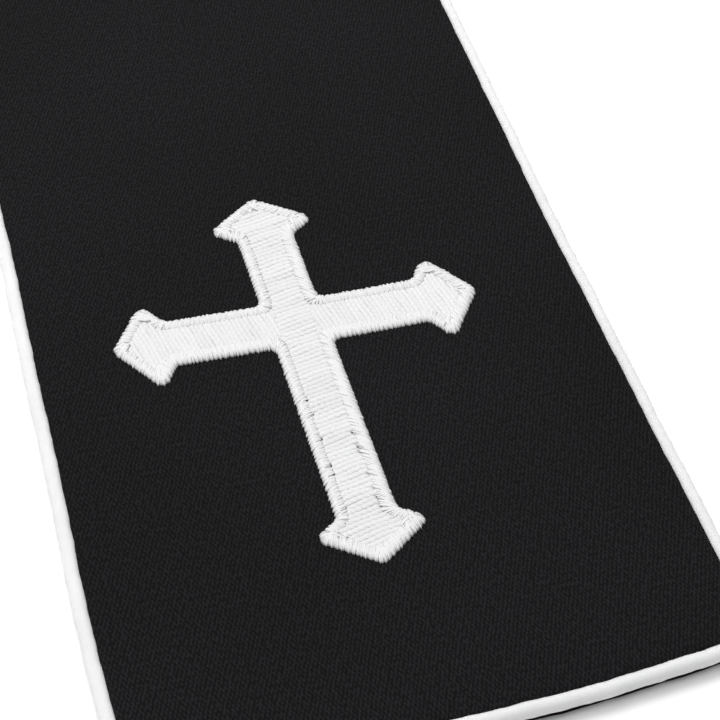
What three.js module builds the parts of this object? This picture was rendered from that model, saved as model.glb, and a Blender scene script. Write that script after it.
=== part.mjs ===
// A clergy stole laid flat on a table, in millimetres, with +Z up.
// X runs across the stole and +Y from the two hems towards the back of the neck.
// The origin is the centre of the outline, on the table.
// Each half is one tapered panel of doubled cloth with a cord piping sewn round it,
// and the halves meet in a mitred seam at the back of the neck.

import * as THREE from 'three';

// The cut of one half, measured along the middle of the cloth and between the middles of the two cords.
const HALF_LENGTH = 1321;
const HEM_WIDTH = 132.2;
const NECK_WIDTH = 94.2;
const HEM_ROUND = 5.2;
const HEM_CORNER_RADIUS = 6;

// The way a half runs: from the neck seam it slopes down, bends, and goes straight on to the hem.
const NECK_SLOPE = THREE.MathUtils.degToRad(35);
const NECK_RUN = 66;
const BEND_RADIUS = 150;

// The cloth and the cord.
const CLOTH_THICKNESS = 2.8;
const CORD_RADIUS = 1.7;
const SEAM_GAP = 0.3;

// The embroidered cross: how far each end reaches from the crossing, and the pointed ends.
const CROSS_ABOVE_HEM = 108.7;
const CROSS_OFF_CENTRE = -4.05;
const CROSS_LEAN = THREE.MathUtils.degToRad(0.4);
const CROSS_REACH = { top: 40.2, side: 42.6, bottom: 68.4 };
const BAR_HALF_WIDTH = 6.7;
const POINT_HALF_WIDTH = 11.9;
const POINT_TO_BARBS = 8.7;
const POINT_TO_BAR = 12.6;
const POINT_RADIUS = 1.7;
const BARB_RADIUS = 0.7;
const LEAST_RADIUS = 0.25;

// The cross in section, from its outline inwards: a raised border of padded stitches round a lower fill.
const CROSS_SECTION = [
  { inset: 0.0, height: 0.0 },
  { inset: 0.0, height: 0.4 },
  { inset: 0.5, height: 0.85 },
  { inset: 1.2, height: 1.0 },
  { inset: 2.0, height: 0.85 },
  { inset: 2.5, height: 0.6 },
];

// How finely curves are drawn.
const BEND_STEPS = 12;
const STRAIGHT_STEPS = 8;
const HEM_STEPS = 10;
const CORNER_STEPS = 4;
const POINT_STEPS = 2;
const EDGE_STEPS = 4;
const CORD_SIDES = 10;

const bendLength = BEND_RADIUS * (Math.PI / 2 - NECK_SLOPE);
const bendEnd = NECK_RUN + bendLength;
const widening = (HEM_WIDTH - NECK_WIDTH) / 2 / HALF_LENGTH;

const point = (x, y) => new THREE.Vector2(x, y);

// Half the width at a distance along the cloth from the neck seam.
const halfWidth = (along) => NECK_WIDTH / 2 + widening * along;

// The middle of the cloth at a distance from the neck seam, and the direction across it to the outer edge.
function middle(along) {
  const bent = THREE.MathUtils.clamp(along - NECK_RUN, 0, bendLength);
  const slope = NECK_SLOPE + bent / BEND_RADIUS;
  const beforeBend = Math.min(along, NECK_RUN);
  const afterBend = Math.max(along - bendEnd, 0);
  const x = beforeBend * Math.cos(NECK_SLOPE) + BEND_RADIUS * (Math.sin(slope) - Math.sin(NECK_SLOPE));
  const y = -beforeBend * Math.sin(NECK_SLOPE) + BEND_RADIUS * (Math.cos(slope) - Math.cos(NECK_SLOPE));
  return { at: point(x, y - afterBend), across: point(Math.sin(slope), Math.cos(slope)) };
}

// A point of the inner edge (side -1) or the outer edge (side 1).
function edgePoint(side, along) {
  const { at, across } = middle(along);
  return at.addScaledVector(across, side * halfWidth(along));
}

// Where the inner or outer edge meets the plane of the neck seam.
function seamStart(side) {
  const sine = Math.sin(NECK_SLOPE);
  const cosine = Math.cos(NECK_SLOPE);
  return (SEAM_GAP / 2 - side * sine * NECK_WIDTH / 2) / (cosine + side * sine * widening);
}

// Round a corner of an outline with an arc that touches both of its sides.
function roundCorner(before, corner, after, radius, steps) {
  const a = before.clone().sub(corner).normalize();
  const b = after.clone().sub(corner).normalize();
  const halfAngle = Math.acos(THREE.MathUtils.clamp(a.dot(b), -1, 1)) / 2;
  const centre = corner.clone().addScaledVector(a.clone().add(b).normalize(), radius / Math.sin(halfAngle));
  const first = corner.clone().addScaledVector(a, radius / Math.tan(halfAngle)).sub(centre);
  const last = corner.clone().addScaledVector(b, radius / Math.tan(halfAngle)).sub(centre);
  const turn = Math.atan2(first.cross(last), first.dot(last));
  const arc = [];
  for (let i = 0; i <= steps; i += 1) {
    arc.push(first.clone().rotateAround(point(0, 0), turn * i / steps).add(centre));
  }
  return arc;
}

// The line of the cord round the right half: from the neck seam down the inner edge,
// across the rounded hem, and up the outer edge to the neck seam again.
function cordLine() {
  const stations = [NECK_RUN];
  for (let i = 1; i <= BEND_STEPS; i += 1) {
    stations.push(NECK_RUN + bendLength * i / BEND_STEPS);
  }
  const hemStart = HALF_LENGTH - HEM_ROUND;
  for (let i = 1; i < STRAIGHT_STEPS; i += 1) {
    stations.push(bendEnd + (hemStart - bendEnd) * i / STRAIGHT_STEPS);
  }
  const inner = [seamStart(-1), ...stations].map((along) => edgePoint(-1, along));
  const outer = [seamStart(1), ...stations].map((along) => edgePoint(1, along));
  const hem = [];
  for (let i = 0; i <= HEM_STEPS; i += 1) {
    const across = 2 * i / HEM_STEPS - 1;
    const { at } = middle(HALF_LENGTH);
    hem.push(point(at.x + across * HEM_WIDTH / 2, at.y + HEM_ROUND * across * across));
  }
  const innerCorner = roundCorner(inner.at(-1), hem[0], hem[1], HEM_CORNER_RADIUS, CORNER_STEPS);
  const outerCorner = roundCorner(hem.at(-2), hem.at(-1), outer.at(-1), HEM_CORNER_RADIUS, CORNER_STEPS);
  return [...inner, ...innerCorner, ...hem.slice(1, -1), ...outerCorner, ...outer.reverse()];
}

// The crossing point of the line through p along d with the line through q along e.
function crossing(p, d, q, e) {
  const reach = q.clone().sub(p).cross(e) / d.cross(e);
  return p.clone().addScaledVector(d, reach);
}

// Move an outline sideways, to the right of its direction of travel.
// The ends of an open outline slide along the plane of the neck seam.
function offset(outline, distance, closed) {
  const count = outline.length;
  const sideAfter = (i) => {
    const direction = outline[(i + 1) % count].clone().sub(outline[i]).normalize();
    const from = outline[i].clone().add(point(direction.y, -direction.x).multiplyScalar(distance));
    return { from, direction };
  };
  const along = point(0, 1);
  return outline.map((corner, i) => {
    if (!closed && i === 0) {
      const side = sideAfter(0);
      return crossing(side.from, side.direction, corner, along);
    }
    const before = sideAfter((i + count - 1) % count);
    if (!closed && i === count - 1) {
      return crossing(before.from, before.direction, corner, along);
    }
    const after = sideAfter(i);
    if (Math.abs(before.direction.cross(after.direction)) < 1e-6) {
      return after.from;
    }
    return crossing(before.from, before.direction, after.from, after.direction);
  });
}

function geometryFrom(vertices, triangles) {
  const geometry = new THREE.BufferGeometry();
  geometry.setAttribute('position', new THREE.Float32BufferAttribute(vertices.flat(), 3));
  geometry.setIndex(triangles.flat());
  geometry.computeVertexNormals();
  return geometry;
}

// A solid from outlines stacked upwards, each { outline, height }, closed by a flat face below and above.
function stack(layers) {
  const count = layers[0].outline.length;
  const vertices = layers.flatMap(({ outline, height }) => outline.map((p) => [p.x, p.y, height]));
  const triangles = [];
  for (let layer = 0; layer < layers.length - 1; layer += 1) {
    for (let i = 0; i < count; i += 1) {
      const a = layer * count + i;
      const b = layer * count + (i + 1) % count;
      triangles.push([a, b, b + count], [a, b + count, a + count]);
    }
  }
  const lid = (outline) => THREE.ShapeUtils.triangulateShape(outline, []);
  const top = (layers.length - 1) * count;
  lid(layers[0].outline).forEach(([a, b, c]) => triangles.push([a, c, b]));
  lid(layers.at(-1).outline).forEach(([a, b, c]) => triangles.push([top + a, top + b, top + c]));
  return geometryFrom(vertices, triangles);
}

// The doubled cloth of the right half, its edge rounded where it is turned in against the cord.
function panelGeometry(line) {
  const edgeRadius = CLOTH_THICKNESS / 2;
  const layers = [];
  for (let i = 0; i <= EDGE_STEPS; i += 1) {
    const angle = -Math.PI / 2 + Math.PI * i / EDGE_STEPS;
    const inset = CORD_RADIUS + SEAM_GAP + edgeRadius * (1 - Math.cos(angle));
    layers.push({
      outline: offset(line, -inset, false),
      height: edgeRadius * (1 + Math.sin(angle)),
    });
  }
  return stack(layers);
}

// The cord of the right half, a round tube cut off in the plane of the neck seam.
function cordGeometry(line) {
  const vertices = [];
  for (let side = 0; side < CORD_SIDES; side += 1) {
    const angle = 2 * Math.PI * side / CORD_SIDES;
    const height = CORD_RADIUS * (1 + Math.sin(angle) / Math.cos(Math.PI / CORD_SIDES));
    offset(line, CORD_RADIUS * Math.cos(angle), false).forEach((p) => vertices.push([p.x, p.y, height]));
  }
  const count = line.length;
  const triangles = [];
  for (let side = 0; side < CORD_SIDES; side += 1) {
    const next = (side + 1) % CORD_SIDES;
    for (let i = 0; i < count - 1; i += 1) {
      const a = side * count + i;
      const b = next * count + i;
      triangles.push([a, a + 1, b + 1], [a, b + 1, b]);
    }
    if (side > 0 && next > 0) {
      triangles.push([0, side * count, next * count]);
      triangles.push([count - 1, next * count + count - 1, side * count + count - 1]);
    }
  }
  return geometryFrom(vertices, triangles);
}

// The outline of the cross about its crossing, moved inwards: four bars, each with a pointed and barbed end.
function crossOutline(inset) {
  const ends = [
    { reach: CROSS_REACH.bottom, turn: 0 },
    { reach: CROSS_REACH.side, turn: Math.PI / 2 },
    { reach: CROSS_REACH.top, turn: Math.PI },
    { reach: CROSS_REACH.side, turn: 3 * Math.PI / 2 },
  ];
  const corners = ends.flatMap(({ reach, turn }) => {
    const end = [
      { x: -BAR_HALF_WIDTH, y: POINT_TO_BAR - reach },
      { x: -POINT_HALF_WIDTH, y: POINT_TO_BARBS - reach, radius: BARB_RADIUS },
      { x: 0, y: -reach, radius: POINT_RADIUS },
      { x: POINT_HALF_WIDTH, y: POINT_TO_BARBS - reach, radius: BARB_RADIUS },
      { x: BAR_HALF_WIDTH, y: POINT_TO_BAR - reach },
      { x: BAR_HALF_WIDTH, y: -BAR_HALF_WIDTH },
    ];
    return end.map(({ x, y, radius }) => ({ at: point(x, y).rotateAround(point(0, 0), turn), radius }));
  });
  const moved = offset(corners.map(({ at }) => at), -inset, true);
  const count = corners.length;
  return corners.flatMap(({ radius }, i) => {
    if (radius === undefined) {
      return [moved[i]];
    }
    const left = Math.max(radius - inset, LEAST_RADIUS);
    return roundCorner(moved[(i + count - 1) % count], moved[i], moved[(i + 1) % count], left, POINT_STEPS);
  });
}

// The cross on the right half, just clear of the cloth.
function crossGeometry() {
  const hem = middle(HALF_LENGTH).at;
  const crossingPoint = point(hem.x + CROSS_OFF_CENTRE, hem.y + CROSS_ABOVE_HEM);
  return stack(CROSS_SECTION.map(({ inset, height }) => ({
    outline: crossOutline(inset).map((p) => p.rotateAround(point(0, 0), CROSS_LEAN).add(crossingPoint)),
    height: CLOTH_THICKNESS + SEAM_GAP + height,
  })));
}

// The same piece on the left half.
function mirrored(geometry) {
  const copy = geometry.clone().scale(-1, 1, 1);
  const index = Array.from(copy.index.array);
  for (let i = 0; i < index.length; i += 3) {
    [index[i + 1], index[i + 2]] = [index[i + 2], index[i + 1]];
  }
  copy.setIndex(index);
  copy.computeVertexNormals();
  return copy;
}

const blackCloth = new THREE.MeshStandardMaterial({ color: 0x222224, roughness: 0.85, metalness: 0 });
const whiteCord = new THREE.MeshStandardMaterial({ color: 0xf0f0ee, roughness: 0.75, metalness: 0 });
const whiteThread = new THREE.MeshStandardMaterial({ color: 0xf3f4f6, roughness: 0.5, metalness: 0 });

const line = cordLine();
const pieces = [
  { name: 'panel', geometry: panelGeometry(line), material: blackCloth },
  { name: 'piping', geometry: cordGeometry(line), material: whiteCord },
  { name: 'cross', geometry: crossGeometry(), material: whiteThread },
];

const stole = new THREE.Group();
for (const { name, geometry, material } of pieces) {
  const right = new THREE.Mesh(geometry, material);
  right.name = `${name}_right`;
  const left = new THREE.Mesh(mirrored(geometry), material.clone());
  left.name = `${name}_left`;
  stole.add(right, left);
}

// The outline reaches from the round of the hem to the peak of the cord at the neck seam.
const outermost = offset(line, CORD_RADIUS, false).map(({ y }) => y);
stole.position.y = -(Math.max(...outermost) + Math.min(...outermost)) / 2;

export default stole;
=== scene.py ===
"""A clergy stole laid flat on a pale table: the cloth, cord and stitches that go over its solids.

Lengths are in metres, in the frame of the solids: +X across the stole, +Y from the hems to the back of
the neck, and +Z up from the table.
"""
import logging
import math
from collections.abc import Sequence
from dataclasses import dataclass
from enum import Enum

import bpy
import numpy as np
from mathutils import Matrix, Vector
from mathutils.geometry import delaunay_2d_cdt


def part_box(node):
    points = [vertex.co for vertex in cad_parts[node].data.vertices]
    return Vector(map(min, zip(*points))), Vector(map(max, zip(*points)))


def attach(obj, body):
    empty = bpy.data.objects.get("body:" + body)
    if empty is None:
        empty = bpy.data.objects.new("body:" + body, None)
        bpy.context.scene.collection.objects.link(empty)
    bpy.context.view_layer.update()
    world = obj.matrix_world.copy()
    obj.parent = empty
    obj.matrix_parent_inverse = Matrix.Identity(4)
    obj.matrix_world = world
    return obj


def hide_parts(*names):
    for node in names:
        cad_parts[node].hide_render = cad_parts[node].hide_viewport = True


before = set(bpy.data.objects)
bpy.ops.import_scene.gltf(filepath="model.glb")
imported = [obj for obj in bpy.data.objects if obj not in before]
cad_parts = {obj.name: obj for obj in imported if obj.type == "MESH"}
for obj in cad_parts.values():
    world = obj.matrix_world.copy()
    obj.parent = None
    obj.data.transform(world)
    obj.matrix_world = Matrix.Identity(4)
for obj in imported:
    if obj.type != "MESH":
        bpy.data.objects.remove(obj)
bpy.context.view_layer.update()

MM = 0.001
TINY = 1e-15
log = logging.getLogger("stole")

# A corner of an outline: x, y and the radius of its rounding.
Corner = tuple[float, float, float]
# A wave: amplitude, wavelength and phase.
Wave = tuple[float, float, float]


class Side(Enum):
    """Which half of the stole a piece is on, and the sign of its X."""

    RIGHT = 1
    LEFT = -1

    @property
    def word(self) -> str:
        """The side's name as the solids spell it."""
        return self.name.lower()


class Slot(Enum):
    """The finishes that the record names."""

    CLOTH = "black_cloth"
    PIPING = "white_piping"
    THREAD = "white_thread"


def smooth_step(value: np.ndarray, low: float, high: float) -> np.ndarray:
    """Ease from 0 at low to 1 at high.

    Args:
        value: The numbers to ease.
        low: Where the step starts.
        high: Where the step ends.

    Returns:
        An array of the same shape, from 0 to 1.
    """
    t = np.clip((np.asarray(value, float) - low) / (high - low), 0, 1)
    return t * t * (3 - 2 * t)


def eased(value: np.ndarray, rows: Sequence[tuple[float, float]]) -> np.ndarray:
    """Follow a short table with soft steps from each of its rows to the next.

    Args:
        value: Where to read the table.
        rows: Rows of a place and what the table says there.

    Returns:
        What the table says at each value.
    """
    places, sizes = (np.array(column) for column in zip(*rows))
    row = np.clip(np.searchsorted(places, value) - 1, 0, len(places) - 2)
    share = np.clip((value - places[row]) / (places[row + 1] - places[row]), 0, 1)
    return sizes[row] + (sizes[row + 1] - sizes[row]) * share * share * (3 - 2 * share)


def unit(vectors: np.ndarray) -> np.ndarray:
    """Scale each row to length one."""
    length = np.linalg.norm(vectors, axis=-1, keepdims=True)
    return vectors / np.maximum(length, 1e-12)


def running_length(points: np.ndarray) -> np.ndarray:
    """Distance along a line of points, starting from 0."""
    return np.concatenate([[0], np.cumsum(np.linalg.norm(np.diff(points, axis=0), axis=1))])


def wander(along: np.ndarray, waves: Sequence[Wave]) -> np.ndarray:
    """Add up uneven waves, as hand-guided cloth has along a seam.

    Args:
        along: Distance along the seam.
        waves: Rows of amplitude, wavelength and phase.

    Returns:
        The sum of the waves at each distance.
    """
    total = np.zeros_like(np.asarray(along, float))
    for amplitude, wavelength, phase in waves:
        total += amplitude * np.sin(2 * math.pi * along / wavelength + phase)
    return total


@dataclass(frozen=True)
class Cut:
    """The cut of one half, as the solids have it, between the middles of the two cords."""

    # How far along +Y the cut is moved, so that its hem lies where the solids' hem does.
    lift: float
    half_length: float = 1321.0 * MM
    hem_width: float = 132.2 * MM
    neck_width: float = 94.2 * MM
    hem_round: float = 5.2 * MM
    corner_radius: float = 6 * MM
    neck_slope: float = math.radians(35)
    neck_run: float = 66 * MM
    bend_radius: float = 150 * MM
    cord_radius: float = 1.7 * MM
    seam_gap: float = 0.3 * MM
    # How high the stiff hem stands off the table, and how far up from it the cloth begins to rise.
    hem_lift: float = 1.5 * MM
    lift_length: float = 38 * MM
    # Distance from the hem, and how far the edge strays outwards there, both in millimetres.
    inner_drift: tuple[tuple[float, float], ...] = (
        (16, 0.0), (35, 0.52), (52, 0.46), (78, -0.03), (112, -0.06), (136, -0.46), (160, -0.42), (215, 0.0),
    )
    outer_drift: tuple[tuple[float, float], ...] = (
        (16, 0.0), (36, 0.46), (60, 0.12), (98, -0.04), (130, -0.28), (150, 0.06), (168, 0.34), (206, 0.7),
        (270, 0.0),
    )
    # The edges' drift further up, how far the two edges are out of step, and where the drift sets in from the
    # hem and from the neck.
    far_drift: tuple[Wave, ...] = (
        (0.30 * MM, 173 * MM, 0.4), (0.18 * MM, 71 * MM, 2.2), (0.12 * MM, 39 * MM, 4.1),
    )
    far_step: float = 47 * MM
    far_drift_start: tuple[float, float] = (190 * MM, 290 * MM)
    neck_calm: tuple[float, float] = (5 * MM, 90 * MM)

    @classmethod
    def in_frame(cls) -> "Cut":
        """Place the cut so that its hem lies where the solids' hem does.

        Returns:
            The cut in the solids' frame.
        """
        loose = cls(lift=0.0)
        hem_y = loose.middle(np.array([loose.half_length]))[0, 1]
        lowest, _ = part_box("piping_right")
        return cls(lift=lowest[1] + loose.cord_radius - hem_y)

    @property
    def widening(self) -> float:
        """How much half the width grows for each metre along the cloth."""
        return (self.hem_width - self.neck_width) / 2 / self.half_length

    @property
    def bend_length(self) -> float:
        """Length of the bend from the neck's slope to straight down."""
        return self.bend_radius * (math.pi / 2 - self.neck_slope)

    def half_width(self, along: np.ndarray) -> np.ndarray:
        """Half the width between the cords at a distance from the neck seam."""
        return self.neck_width / 2 + self.widening * along

    def slope(self, along: np.ndarray) -> np.ndarray:
        """How steeply the middle line runs down at a distance from the neck seam, in radians."""
        bent = np.clip(along - self.neck_run, 0, self.bend_length)
        return self.neck_slope + bent / self.bend_radius

    def middle(self, along: np.ndarray) -> np.ndarray:
        """Follow the middle line.

        Args:
            along: Distances from the neck seam.

        Returns:
            Rows of x and y.
        """
        slope = self.slope(along)
        before = np.minimum(along, self.neck_run)
        after = np.maximum(along - self.neck_run - self.bend_length, 0)
        sine, cosine = math.sin(self.neck_slope), math.cos(self.neck_slope)
        x = before * cosine + self.bend_radius * (np.sin(slope) - sine)
        y = -before * sine + self.bend_radius * (np.cos(slope) - cosine) - after
        return np.stack([x, y + self.lift], axis=-1)

    def drift(self, along: np.ndarray, across: np.ndarray) -> np.ndarray:
        """How far points stray across as the edges do, most at the edges and little in the middle.

        Args:
            along: Distances from the neck seam along the middle line.
            across: Distances from the middle line, towards the outer edge where positive.

        Returns:
            The distance that each point strays, towards the outer edge where positive.
        """
        ahead = self.half_length - along
        side = np.sign(across)
        inner, outer = (eased(ahead / MM, table) for table in (self.inner_drift, self.outer_drift))
        near = np.where(side < 0, inner, outer) * MM
        far = wander(ahead + self.far_step * side, self.far_drift)
        far = far * smooth_step(ahead, *self.far_drift_start) * smooth_step(along, *self.neck_calm)
        share = np.minimum(np.abs(across) / self.half_width(along), 1)
        return side * (near + far) * share**4

    def place(self, along: np.ndarray, across: np.ndarray) -> np.ndarray:
        """Points of the right half.

        Args:
            along: Distances from the neck seam along the middle line.
            across: Distances from the middle line, towards the outer edge where positive.

        Returns:
            An array of x and y.
        """
        slope = self.slope(along)
        normal = np.stack([np.sin(slope), np.cos(slope)], axis=-1)
        across = across + self.drift(along, across)
        return self.middle(along) + normal * across[..., None]

    def seam_start(self, across: np.ndarray) -> np.ndarray:
        """Where a line at a distance across meets the plane of the neck seam."""
        return self.seam_gap / 2 / math.cos(self.neck_slope) - np.asarray(across) * math.tan(self.neck_slope)

    def lifted(self, along: np.ndarray) -> np.ndarray:
        """How much of the hem's full lift the cloth has at distances from the neck seam, 0 to 1."""
        return smooth_step(along, self.half_length - self.lift_length, self.half_length - 2 * MM)

    def flat_area(self) -> float:
        """Area of one half's face between the cords' middles."""
        return self.half_length * (self.hem_width + self.neck_width) / 2


class MeshParts:
    """Collects points, faces and point values, and makes one mesh object from them."""

    def __init__(self) -> None:
        """Start with nothing."""
        self.points: list[np.ndarray] = []
        self.faces: list[tuple[int, ...]] = []
        self.places: list[np.ndarray] = []
        self.tones: list[np.ndarray] = []
        self.count = 0

    def add_points(self, points: np.ndarray, places: np.ndarray, tone: np.ndarray | float = 0.5) -> int:
        """Add points with their place in the cloth or thread.

        Args:
            points: Rows of x, y and z.
            places: Rows of two lengths, for the finish to follow.
            tone: A value from 0 to 1 for each point, or one for all.

        Returns:
            The index of the first new point.
        """
        first = self.count
        self.points.append(np.asarray(points, float))
        self.places.append(np.asarray(places, float))
        self.tones.append(np.broadcast_to(np.asarray(tone, float), (len(points),)))
        self.count += len(points)
        return first

    def add_grid(self, first: int, rows: int, columns: int, flip: bool = False) -> None:
        """Join points that lie in rows and columns with faces of four corners.

        Args:
            first: The index of the first point.
            rows: How many rows there are.
            columns: How many points each row has.
            flip: Whether the faces look down.
        """
        for row in range(rows - 1):
            start = first + row * columns
            for column in range(columns - 1):
                a = start + column
                face = (a, a + 1, a + columns + 1, a + columns)
                self.faces.append(face[::-1] if flip else face)

    def add_tube(self, first: int, rows: int, sides: int, flip: bool = False) -> None:
        """Join rings of points into a tube and close its two ends.

        Args:
            first: The index of the first point.
            rows: How many rings there are.
            sides: How many points each ring has.
            flip: Whether the rings run the other way round.
        """
        for row in range(rows - 1):
            start = first + row * sides
            for column in range(sides):
                a, b = start + column, start + (column + 1) % sides
                face = (a, b, b + sides, a + sides)
                self.faces.append(face[:1] + face[:0:-1] if flip else face)
        last = first + (rows - 1) * sides
        for cap in (tuple(range(first + sides - 1, first - 1, -1)), tuple(range(last, last + sides))):
            self.faces.append(cap[::-1] if flip else cap)

    def make(self, name: str, mirrored: bool) -> bpy.types.Object:
        """Make the object.

        Args:
            name: The object's name.
            mirrored: Whether the piece goes to the left half.

        Returns:
            The new object, linked to the scene.
        """
        points = np.concatenate(self.points)
        faces = self.faces
        if mirrored:
            points = points * np.array([-1, 1, 1])
            faces = [face[::-1] for face in faces]
        mesh = bpy.data.meshes.new(name)
        mesh.from_pydata(points.tolist(), [], faces)
        places = np.concatenate(self.places)
        if mirrored:
            places = places * np.array([-1, 1])
        corner_points = np.empty(len(mesh.loops), dtype=np.int32)
        mesh.loops.foreach_get("vertex_index", corner_points)
        uv = mesh.uv_layers.new(name="place")
        uv.data.foreach_set("uv", places[corner_points].astype(np.float32).ravel())
        tone = mesh.attributes.new("tone", "FLOAT", "POINT")
        tone.data.foreach_set("value", np.concatenate(self.tones).astype(np.float32))
        mesh.update()
        mesh.shade_smooth()
        piece = bpy.data.objects.new(name, mesh)
        bpy.context.scene.collection.objects.link(piece)
        return piece


class Graph:
    """A short way to add and join nodes in one node tree."""

    def __init__(self, tree: bpy.types.NodeTree) -> None:
        """Work on the given tree."""
        self.tree = tree

    def node(self, kind: str, inputs: dict | None = None, **settings: object) -> bpy.types.Node:
        """Add a node.

        Args:
            kind: The node's type, without its leading words.
            inputs: Socket name or number to a value, or to an output socket to join it to.
            **settings: Properties of the node.

        Returns:
            The new node.
        """
        prefix = "ShaderNode" if not kind.startswith("NodeGroup") else ""
        node = self.tree.nodes.new(prefix + kind)
        for name, value in settings.items():
            setattr(node, name, value)
        self.fill(node, inputs or {})
        return node

    def fill(self, node: bpy.types.Node, inputs: dict) -> None:
        """Give a node its values.

        Args:
            node: The node.
            inputs: Socket name or number to a value, or to an output socket to join it to.
        """
        for name, value in inputs.items():
            if isinstance(value, bpy.types.NodeSocket):
                self.tree.links.new(value, node.inputs[name])
            else:
                node.inputs[name].default_value = value

    def math(self, operation: str, *values: object) -> bpy.types.NodeSocket:
        """Add a Math node and return its output."""
        return self.node("Math", dict(enumerate(values)), operation=operation).outputs[0]

    def vector(self, operation: str, first: object, second: object) -> bpy.types.Node:
        """Add a Vector Math node."""
        return self.node("VectorMath", {0: first, 1: second}, operation=operation)

    def scaled(self, vector: object, scale: object) -> bpy.types.NodeSocket:
        """Scale a vector or a colour."""
        return self.node("VectorMath", {0: vector, "Scale": scale}, operation="SCALE").outputs[0]

    def spread(
        self, value: object, new_low: float, new_high: float, low: float = 0.0, high: float = 1.0,
    ) -> bpy.types.NodeSocket:
        """Map a value from one span to another, held at its ends."""
        inputs = {0: value, 1: low, 2: high, 3: new_low, 4: new_high}
        return self.node("MapRange", inputs).outputs[0]

    def place(self) -> bpy.types.NodeSocket:
        """Add a UV Map node for the place in the cloth or thread, in metres."""
        return self.node("UVMap", uv_map="place").outputs["UV"]


def new_group(
    name: str, inputs: dict[str, tuple[str, object]], outputs: dict[str, str],
) -> tuple[bpy.types.NodeTree, Graph, bpy.types.Node, bpy.types.Node]:
    """Make an empty shader node group with named sockets.

    Args:
        name: The group's name.
        inputs: Socket name to its kind and first value.
        outputs: Socket name to its kind.

    Returns:
        The group, a Graph on it, its input node and its output node.
    """
    group = bpy.data.node_groups.new(name, "ShaderNodeTree")
    for socket, (kind, value) in inputs.items():
        made = group.interface.new_socket(socket, in_out="INPUT", socket_type="NodeSocket" + kind)
        if value is not None:
            made.default_value = value
    for socket, kind in outputs.items():
        group.interface.new_socket(socket, in_out="OUTPUT", socket_type="NodeSocket" + kind)
    graph = Graph(group)
    return group, graph, graph.node("NodeGroupInput"), graph.node("NodeGroupOutput")


def new_material(name: str) -> tuple[bpy.types.Material, Graph, bpy.types.Node]:
    """Make a material.

    Args:
        name: The material's name.

    Returns:
        The material, a Graph on its nodes and its Principled shader.
    """
    material = bpy.data.materials.new(name)
    material.use_nodes = True
    return material, Graph(material.node_tree), material.node_tree.nodes["Principled BSDF"]


class Effects:
    """The shared effects: woven ribs, uneven tone, and the twist of spun yarn."""

    def __init__(self) -> None:
        """Build each group once."""
        self.weave = self.build_weave()
        self.uneven = self.build_uneven()
        self.twist = self.build_twist()

    @staticmethod
    def build_weave() -> bpy.types.NodeTree:
        """Two crossing sets of ribs, which break up into rows of dots as a steep twill does.

        Returns:
            The group. Its Rib and Cross say how many ribs there are in a metre, each way.
        """
        group, g, start, end = new_group(
            "woven_ribs",
            {
                "Place": ("Vector", None),
                "Rib": ("Vector", (0, 0, 0)),
                "Cross": ("Vector", (0, 0, 0)),
                "Cross share": ("Float", 0.5),
                "Waver": ("Float", 0.0001),
                "Broken": ("Float", 0.0),
            },
            {"Height": "Float", "Thread": "Float"},
        )
        given = start.outputs
        drift = g.node("TexNoise", {"Vector": given["Place"], "Scale": 420.0, "Detail": 1.0})
        centred = g.vector("SUBTRACT", drift.outputs["Color"], (0.5, 0.5, 0.5)).outputs[0]
        place = g.vector("ADD", given["Place"], g.scaled(centred, given["Waver"])).outputs[0]
        waves = []
        for name in ("Rib", "Cross"):
            turns = g.vector("DOT_PRODUCT", place, given[name]).outputs["Value"]
            waves.append(g.math("COSINE", g.math("MULTIPLY", turns, 2 * math.pi)))
        total = g.math("ADD", waves[0], g.math("MULTIPLY", waves[1], given["Cross share"]))
        most = g.math("ADD", given["Cross share"], 1.0)
        slub = g.node("TexNoise", {"Vector": given["Place"], "Scale": 1150.0, "Detail": 1.5})
        uneven = g.math("MULTIPLY", g.math("SUBTRACT", slub.outputs["Fac"], 0.5), given["Broken"])
        total = g.math("ADD", g.math("DIVIDE", total, most), uneven)
        height = g.math("MULTIPLY_ADD", total, 0.5, 0.5)
        g.fill(end, {"Height": height, "Thread": g.spread(height, 0, 1, low=0.32, high=0.82)})
        return group

    @staticmethod
    def build_uneven() -> bpy.types.NodeTree:
        """Soft patches and fine specks of lighter and darker tone.

        Returns:
            The group.
        """
        group, g, start, end = new_group(
            "uneven_tone",
            {"Place": ("Vector", None), "Patch scale": ("Float", 20.0), "Speck scale": ("Float", 900.0)},
            {"Patch": "Float", "Speck": "Float"},
        )
        given = start.outputs
        for name, detail in (("Patch", 2.0), ("Speck", 1.0)):
            inputs = {"Vector": given["Place"], "Scale": given[name + " scale"], "Detail": detail}
            noise = g.node("TexNoise", inputs).outputs["Fac"]
            g.fill(end, {name: g.spread(noise, 0, 1, low=0.3, high=0.7)})
        return group

    @staticmethod
    def build_twist() -> bpy.types.NodeTree:
        """Fine slanting lines of the fibres in a twisted thread.

        Returns:
            The group. Its Fibre says how many lines there are in a metre, across and along.
        """
        group, g, start, end = new_group(
            "thread_twist",
            {"Place": ("Vector", None), "Fibre": ("Vector", (0, 0, 0))},
            {"Height": "Float"},
        )
        turns = g.vector("DOT_PRODUCT", start.outputs["Place"], start.outputs["Fibre"]).outputs["Value"]
        wave = g.math("SINE", g.math("MULTIPLY", turns, 2 * math.pi))
        g.fill(end, {"Height": g.math("MULTIPLY_ADD", wave, 0.5, 0.5)})
        return group


def grey(value: float, blue: float = 1.0) -> tuple[float, float, float, float]:
    """A grey with a little more or less blue in it."""
    return (value, value, value * blue, 1.0)


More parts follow.
